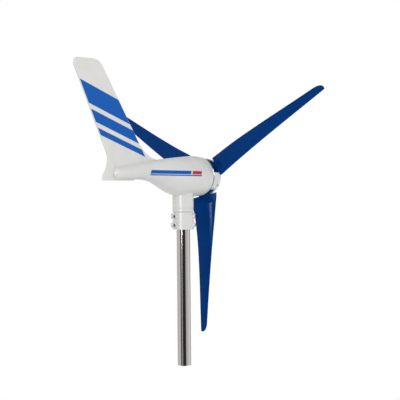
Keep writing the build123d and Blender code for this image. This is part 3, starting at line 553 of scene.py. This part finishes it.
class TURBINE_OT_blades(bpy.types.Operator):
    """Make the three moulded blades"""
    bl_idname = "turbine.blades"
    bl_label = "Blades"

    def execute(self, context):
        axis_height = JOINTS["rotor_spin"]["pos_m"][2]
        skin, tab = blade_surface(), tab_surface()
        faces = tube_faces(*skin.shape[:2])
        faces += tube_faces(*tab.shape[:2], first=skin.shape[0] * skin.shape[1])
        upright = np.concatenate([skin.reshape(-1, 3), tab.reshape(-1, 3)])
        for number in range(3):
            angle = math.pi + number * 2 * math.pi / 3
            points = turn_about_rotor(upright, angle, axis_height)
            piece = new_piece("blade_%d_moulding" % (number + 1), points, faces, "blade")
            smooth(piece)
            piece.data.set_sharp_from_angle(angle=math.radians(SHARP_ANGLE))
            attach(piece, "rotor")
            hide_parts("blade_%d" % (number + 1))
        return {"FINISHED"}


class TURBINE_OT_fin_bands(bpy.types.Operator):
    """Lay plain slanted bands of film on both sides of the tail fin"""
    bl_idname = "turbine.fin_bands"
    bl_label = "Fin bands"

    def execute(self, context):
        sizes = context.scene.turbine_sizes
        axis_height = JOINTS["rotor_spin"]["pos_m"][2]
        low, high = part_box("tail_fin")
        level, height = sizes.band_top, sizes.band_first
        for number in range(sizes.band_count):
            points = fin_band(level, height, sizes)
            for name, side in (("left", high.y), ("right", low.y)):
                placed = points + np.array([0.0, side, axis_height])
                faces = grid_faces(*points.shape[:2])
                if side > 0:
                    faces = faces[:, ::-1]
                piece = new_piece("fin_band_%s_%d" % (name, number + 1), placed, faces,
                                  "film_blue")
                thicken(piece, sizes.film)
                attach(piece, "nacelle")
            level -= height + sizes.band_gap
            height *= sizes.band_ratio
        return {"FINISHED"}


class TURBINE_OT_nacelle_stripes(bpy.types.Operator):
    """Lay a plain blue and red stripe with a thin line on both flanks of the nacelle"""
    bl_idname = "turbine.nacelle_stripes"
    bl_label = "Nacelle stripes"

    def execute(self, context):
        sizes = context.scene.turbine_sizes
        axis_height = JOINTS["rotor_spin"]["pos_m"][2]
        middle = sizes.stripe_rise + axis_height
        under = middle - sizes.stripe_height / 2 - sizes.pinstripe
        bars = {
            "blue": (sizes.stripe_rear, sizes.stripe_split, middle, sizes.stripe_height,
                     "film_blue"),
            "red": (sizes.stripe_split + STRIPE_GAP, sizes.stripe_front, middle,
                    sizes.stripe_height, "film_red"),
            "line": (sizes.stripe_rear, sizes.stripe_front, under, sizes.pinstripe,
                     "film_blue"),
        }
        for bar, (rear, front, level, height, finish) in bars.items():
            for name, side in (("left", 1), ("right", -1)):
                points = stripe_outline(rear, front, level, height, STRIPE_LEAN)
                points[..., 1] = side * STRIPE_START
                faces = grid_faces(*points.shape[:2])
                if side > 0:
                    faces = faces[:, ::-1]
                piece = new_piece("stripe_%s_%s" % (bar, name), points, faces, finish)
                settle_on(piece, "nacelle_housing", side)
                smooth(piece)
                thicken(piece, sizes.film)
                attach(piece, "nacelle")
        return {"FINISHED"}


class TURBINE_OT_stage(bpy.types.Operator):
    """Set the soft studio light and the camera"""
    bl_idname = "turbine.stage"
    bl_label = "Stage"

    def execute(self, context):
        scene = context.scene
        set_world(scene)
        set_camera(scene)
        set_lamps(scene)
        scene.view_settings.view_transform = "Standard"
        return {"FINISHED"}


# Where the camera stands, in the frame of the mast, and how it is held
CAMERA_PLACE = (-1.957, -1.666, 0.589)
CAMERA_LENS = 64.6
CAMERA_SHIFT = 0.0425
CAMERA_ROLL = -0.5

# Studio seen by reflections: degrees from the camera's side, brightness
STUDIO_RING = (
    (-180, 0.80), (-125, 0.75), (-110, 0.55), (-95, 0.80), (-60, 0.70), (-53, 0.05),
    (-39, 0.03), (-31, 0.60), (-25, 0.55), (-20, 0.02), (28, 0.02), (38, 0.62), (70, 0.70),
    (100, 0.95), (128, 0.90), (142, 0.25), (160, 0.20), (179, 0.80),
)

# Height of a direction over which the ring gives way to a ceiling, and the ceiling's brightness
CEILING_RISE = (0.25, 0.55)
CEILING_LEVEL = 0.06

# Soft fill from below the horizon and from overhead, and the heights between which it changes
FILL_LIGHT = (0.84, 0.92)
FILL_RISE = (-0.2, 1.0)

# Softboxes: place, target, width and height, power in watts
KEY_BOX = ((-2.6, -3.4, 2.2), (0, 0, 0.6), (2.4, 2.4), 40.0)
STRIP_BOX = ((-2.85, -0.72, 0.92), (0.1, 0, 0.6), (0.34, 0.95), 50.0)


def set_world(scene):
    """A soft fill, a ring of light and dark panels for reflections, plain white behind.

    The ring's brightness follows the direction's angle about +Z, counted from the camera's
    side, and eases to a dark ceiling above.
    """
    world = bpy.data.worlds.new("studio")
    scene.world = world
    world.use_nodes = True
    tree = world.node_tree
    tree.nodes.clear()
    way = add_node(tree, "ShaderNodeTexCoord").outputs["Generated"]
    parts = add_node(tree, "ShaderNodeSeparateXYZ", {0: way}).outputs
    angle = add_node(tree, "ShaderNodeMath", {0: parts["Y"], 1: parts["X"]},
                     operation="ARCTAN2").outputs[0]
    camera_angle = math.atan2(CAMERA_PLACE[1], CAMERA_PLACE[0])
    turned = add_node(tree, "ShaderNodeMath", {0: angle, 1: camera_angle},
                      operation="SUBTRACT").outputs[0]
    wrapped = add_node(tree, "ShaderNodeMath", {0: turned, 1: math.pi, 2: -math.pi},
                       operation="WRAP").outputs[0]
    share = add_node(tree, "ShaderNodeMapRange",
                     {"Value": wrapped, "From Min": -math.pi, "From Max": math.pi})
    ring = add_node(tree, "ShaderNodeValToRGB", {"Fac": share.outputs["Result"]})
    stops = ring.color_ramp.elements
    while len(stops) > 1:
        stops.remove(stops[-1])
    for number, (degrees, level) in enumerate(STUDIO_RING):
        where = (degrees + 180) / 360
        stop = stops[0] if number == 0 else stops.new(where)
        stop.position = where
        stop.color = (level, level, level, 1.0)
    height = add_node(tree, "ShaderNodeMapRange",
                      {"Value": parts["Z"], "From Min": CEILING_RISE[0],
                       "From Max": CEILING_RISE[1]})
    panels = add_node(tree, "ShaderNodeMix", {"Factor": height.outputs["Result"]},
                      data_type="RGBA")
    tree.links.new(ring.outputs["Color"], panels.inputs[MIX_FIRST])
    panels.inputs[MIX_SECOND].default_value = (CEILING_LEVEL,) * 3 + (1.0,)
    studio = add_node(tree, "ShaderNodeBackground", {"Color": panels.outputs[MIX_RESULT],
                                                     "Strength": 1.0})
    overhead = add_node(tree, "ShaderNodeMapRange",
                        {"Value": parts["Z"], "From Min": FILL_RISE[0],
                         "From Max": FILL_RISE[1],
                         "To Min": FILL_LIGHT[0], "To Max": FILL_LIGHT[1]})
    fill = add_node(tree, "ShaderNodeBackground", {"Color": (1, 1, 1, 1),
                                                   "Strength": overhead.outputs["Result"]})
    white = add_node(tree, "ShaderNodeBackground", {"Color": (1, 1, 1, 1), "Strength": 1.0})
    path = add_node(tree, "ShaderNodeLightPath").outputs
    lit = add_node(tree, "ShaderNodeMixShader", {0: path["Is Glossy Ray"], 1: fill.outputs[0],
                                                 2: studio.outputs[0]})
    mixed = add_node(tree, "ShaderNodeMixShader", {0: path["Is Camera Ray"],
                                                   1: lit.outputs[0], 2: white.outputs[0]})
    add_node(tree, "ShaderNodeOutputWorld", {"Surface": mixed.outputs[0]})


def add_softbox(scene, name, place, target, size, power):
    """An area light, width by height, aimed at a point and hidden from the camera."""
    lamp = bpy.data.lights.new(name, "AREA")
    lamp.shape = "RECTANGLE"
    lamp.size, lamp.size_y = size
    lamp.energy = power
    held = bpy.data.objects.new(name, lamp)
    held.location = place
    aim = Vector(target) - Vector(place)
    held.rotation_euler = aim.to_track_quat("-Z", "Y").to_euler()
    held.visible_camera = False
    scene.collection.objects.link(held)
    return held


def set_camera(scene):
    """A level camera, rolled a little, with the mast left of the view's middle."""
    lens = bpy.data.cameras.new("camera")
    lens.lens = CAMERA_LENS
    lens.sensor_width = 36.0
    lens.shift_x = CAMERA_SHIFT
    lens.clip_end = 200.0
    held = bpy.data.objects.new("camera", lens)
    place = Vector(CAMERA_PLACE)
    aim = Vector((-place.x, -place.y, 0.0))
    turn = aim.to_track_quat("-Z", "Y").to_matrix().to_4x4()
    roll = Matrix.Rotation(math.radians(CAMERA_ROLL), 4, "Z")
    held.matrix_world = Matrix.Translation(place) @ turn @ roll
    scene.collection.objects.link(held)
    scene.camera = held


def set_lamps(scene):
    """The key light, and a strip that only reflections see."""
    add_softbox(scene, "key", *KEY_BOX)
    strip = add_softbox(scene, "strip", *STRIP_BOX)
    strip.visible_diffuse = False


# ---------------------------------------------------------------- panel and main

OPERATORS = (
    TURBINE_OT_mast, TURBINE_OT_nacelle, TURBINE_OT_rotor, TURBINE_OT_blades,
    TURBINE_OT_fin_bands, TURBINE_OT_nacelle_stripes, TURBINE_OT_stage,
)


class TURBINE_PT_panel(bpy.types.Panel):
    """Lists the turbine's operators"""
    bl_idname = "TURBINE_PT_panel"
    bl_label = "Wind turbine"
    bl_space_type = "VIEW_3D"
    bl_region_type = "UI"
    bl_category = "Turbine"

    def draw(self, context):
        for operator in OPERATORS:
            self.layout.operator(operator.bl_idname)
        for group in (context.scene.turbine_sizes, context.scene.turbine_colours):
            for name in group.__annotations__:
                self.layout.prop(group, name)


CLASSES = (TurbineColours, TurbineSizes, *OPERATORS, TURBINE_PT_panel)


def register():
    for kind in CLASSES:
        bpy.utils.register_class(kind)
    bpy.types.Scene.turbine_sizes = PointerProperty(type=TurbineSizes)
    bpy.types.Scene.turbine_colours = PointerProperty(type=TurbineColours)


def unregister():
    del bpy.types.Scene.turbine_colours
    del bpy.types.Scene.turbine_sizes
    for kind in reversed(CLASSES):
        bpy.utils.unregister_class(kind)


def main():
    register()
    FINISHES.update(make_finishes(bpy.context.scene.turbine_colours))
    for operator in OPERATORS:
        group, name = operator.bl_idname.split(".")
        getattr(getattr(bpy.ops, group), name)()


if __name__ == "__main__":
    main()
